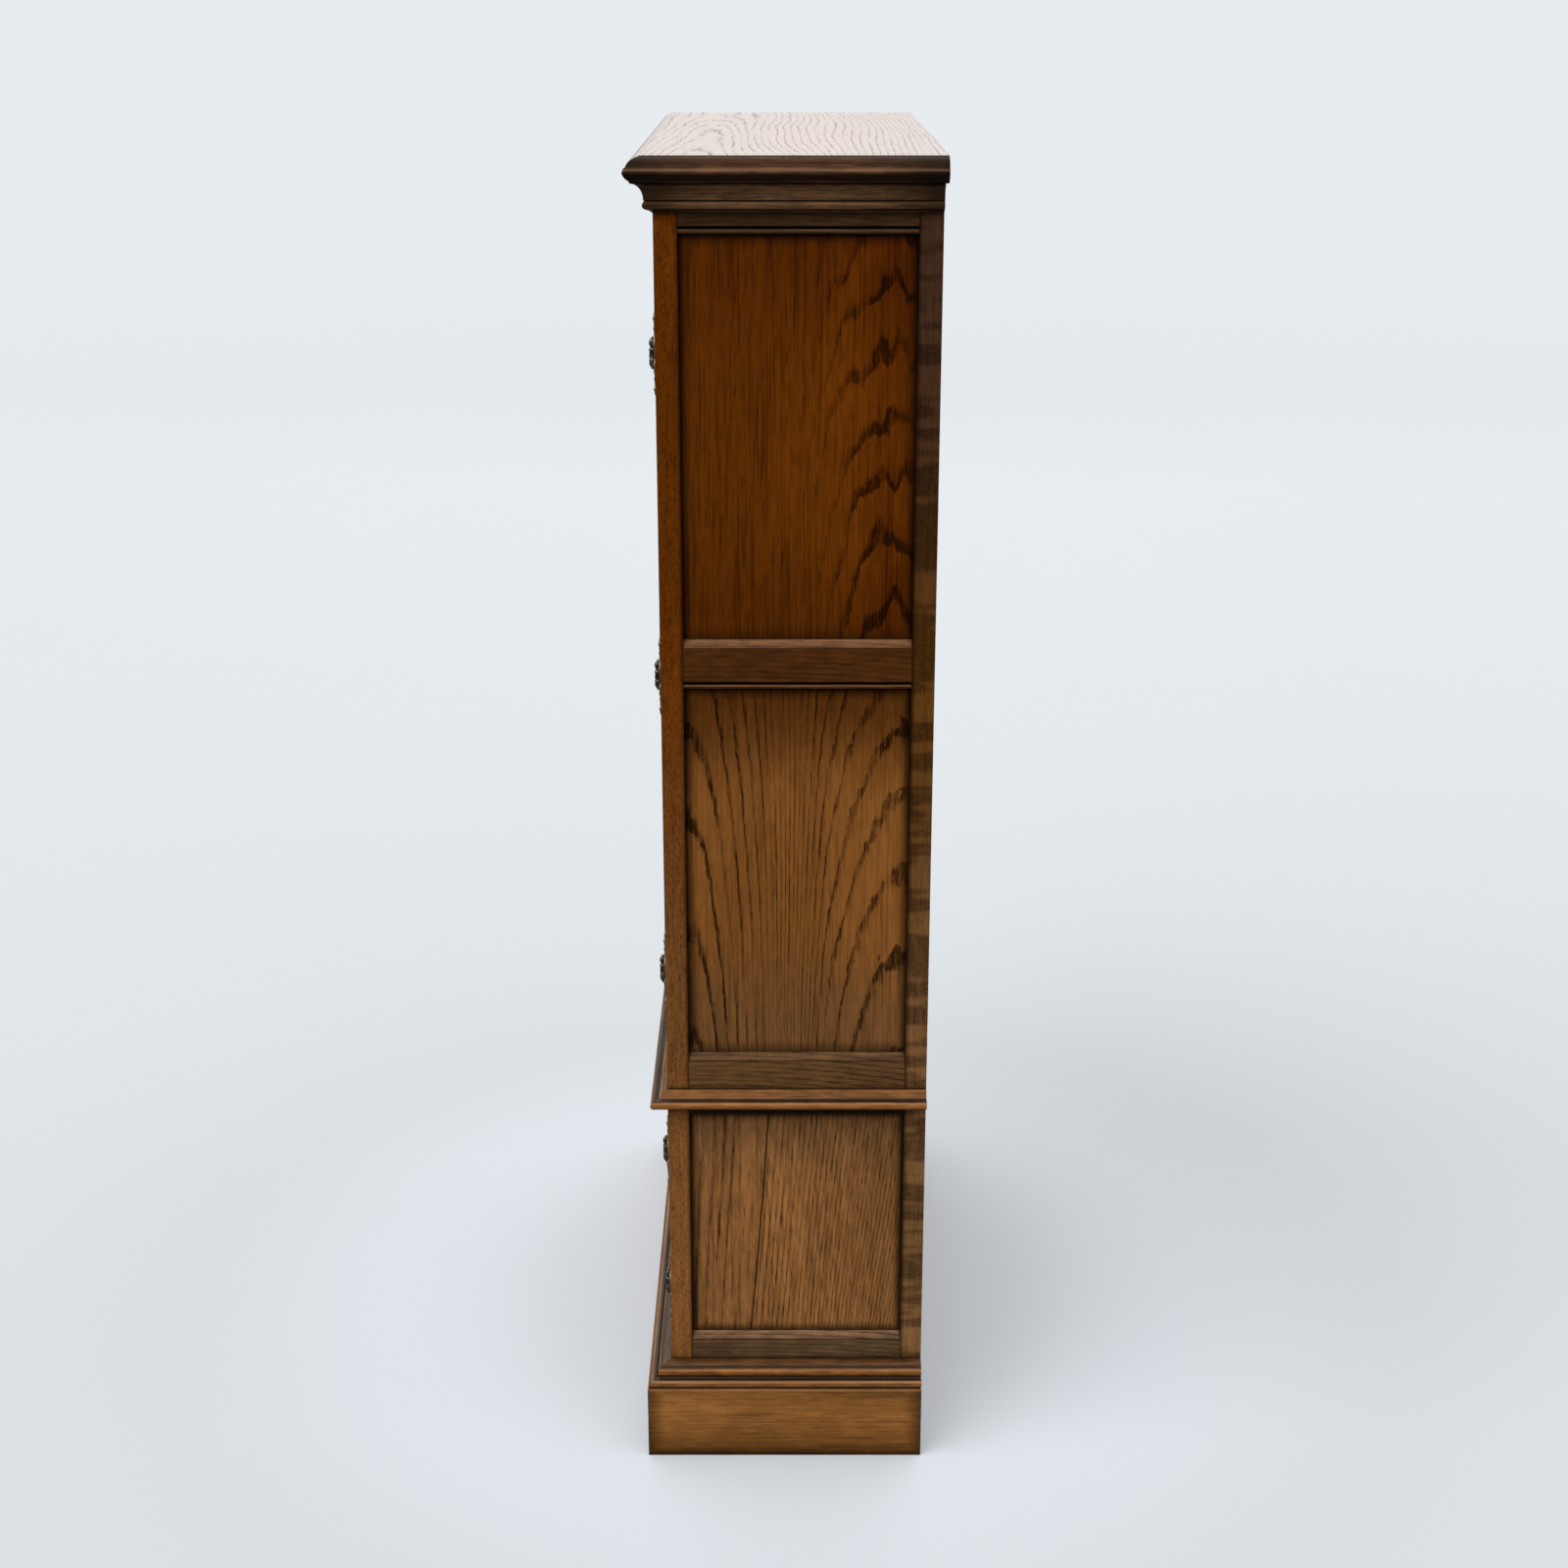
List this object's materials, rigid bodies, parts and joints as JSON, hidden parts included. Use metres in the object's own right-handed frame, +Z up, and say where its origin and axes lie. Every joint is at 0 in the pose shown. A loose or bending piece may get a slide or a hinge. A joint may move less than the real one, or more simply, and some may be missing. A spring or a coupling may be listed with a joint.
{
  "type": "bookcase",
  "caption": "Tall two-stage oak bookcase: leaded glass doors above a waist ledge, panelled cupboard doors below, adjustable shelves and surface hinges.",
  "frame": {"origin": "centre of the object's box, on the floor plane under the plinth", "axes": "+Z up; -Y out of the front, through the doors; +X to the object's right-hand side as the picture's near side"},
  "size_m": [0.995, 0.399, 1.83],
  "materials": {
    "oak_top": "polished dark oak, satin, open cathedral grain",
    "oak_moulding": "dark stained oak moulding, satin with darker quirks",
    "oak_frame": "dark stained oak, waxed satin, straight and mottled grain",
    "oak_panel": "amber-brown stained oak panel, satin, cathedral figure, shaded edges",
    "oak_plinth": "brown stained oak with long horizontal grain, satin",
    "oak_inside": "stained oak, lightly polished",
    "back_plywood": "brown stained plywood, matt",
    "door_glass": "clear float glass",
    "lead_came": "dull grey lead strip",
    "hinge_iron": "dark antique cast metal with rubbed edges",
    "knob_bronze": "dark antique bronze, rubbed bright on the crown"
  },
  "bodies": {
    "carcass": {"top_board": "oak_top", "cornice_front": "oak_moulding", "cornice_right": "oak_moulding", "cornice_left": "oak_moulding", "base_moulding_front": "oak_moulding", "base_moulding_right": "oak_moulding", "base_moulding_left": "oak_moulding", "waist_board": "oak_moulding", "side_frame_upper_right": "oak_frame", "side_frame_lower_right": "oak_frame", "side_panel_top_right": "oak_panel", "side_panel_middle_right": "oak_panel", "side_panel_lower_right": "oak_panel", "side_frame_upper_left": "oak_frame", "side_frame_lower_left": "oak_frame", "side_panel_top_left": "oak_panel", "side_panel_middle_left": "oak_panel", "side_panel_lower_left": "oak_panel", "back_panel": "back_plywood", "shelf_1": "oak_inside", "shelf_2": "oak_inside", "shelf_3": "oak_inside", "front_rail_top": "oak_frame", "front_rail_bottom": "oak_frame", "bottom_board": "oak_inside", "plinth_frame": "oak_plinth", "upper_hinge_right_1_post_leaf": "hinge_iron", "upper_hinge_right_2_post_leaf": "hinge_iron", "upper_hinge_right_3_post_leaf": "hinge_iron", "upper_hinge_left_1_post_leaf": "hinge_iron", "upper_hinge_left_2_post_leaf": "hinge_iron", "upper_hinge_left_3_post_leaf": "hinge_iron", "lower_hinge_right_1_post_leaf": "hinge_iron", "lower_hinge_right_2_post_leaf": "hinge_iron", "lower_hinge_left_1_post_leaf": "hinge_iron", "lower_hinge_left_2_post_leaf": "hinge_iron"},
    "upper_door_right": {"upper_door_frame_right": "oak_frame", "upper_door_glass_right": "door_glass", "upper_door_lead_right": "lead_came", "upper_door_knob_right": "knob_bronze", "upper_hinge_right_1_door_leaf": "hinge_iron", "upper_hinge_right_2_door_leaf": "hinge_iron", "upper_hinge_right_3_door_leaf": "hinge_iron"},
    "upper_door_left": {"upper_door_frame_left": "oak_frame", "upper_door_glass_left": "door_glass", "upper_door_lead_left": "lead_came", "upper_door_knob_left": "knob_bronze", "upper_hinge_left_1_door_leaf": "hinge_iron", "upper_hinge_left_2_door_leaf": "hinge_iron", "upper_hinge_left_3_door_leaf": "hinge_iron"},
    "lower_door_right": {"lower_door_frame_right": "oak_frame", "lower_door_panel_right": "oak_panel", "lower_door_knob_right": "knob_bronze", "lower_hinge_right_1_door_leaf": "hinge_iron", "lower_hinge_right_2_door_leaf": "hinge_iron"},
    "lower_door_left": {"lower_door_frame_left": "oak_frame", "lower_door_panel_left": "oak_panel", "lower_door_knob_left": "knob_bronze", "lower_hinge_left_1_door_leaf": "hinge_iron", "lower_hinge_left_2_door_leaf": "hinge_iron"}
  },
  "joints": [
    {"name": "upper_door_right_swing", "type": "hinge", "parent": "carcass", "child": "upper_door_right", "pos_m": [0.42575, -0.1694, 1.1585], "axis": [0, 0, 1], "range_deg": [0, 170]},
    {"name": "upper_door_left_swing", "type": "hinge", "parent": "carcass", "child": "upper_door_left", "pos_m": [-0.42575, -0.1694, 1.1585], "axis": [0, 0, -1], "range_deg": [0, 170]},
    {"name": "lower_door_right_swing", "type": "hinge", "parent": "carcass", "child": "lower_door_right", "pos_m": [0.42575, -0.1694, 0.3525], "axis": [0, 0, 1], "range_deg": [0, 170]},
    {"name": "lower_door_left_swing", "type": "hinge", "parent": "carcass", "child": "lower_door_left", "pos_m": [-0.42575, -0.1694, 0.3525], "axis": [0, 0, -1], "range_deg": [0, 170]}
  ]
}
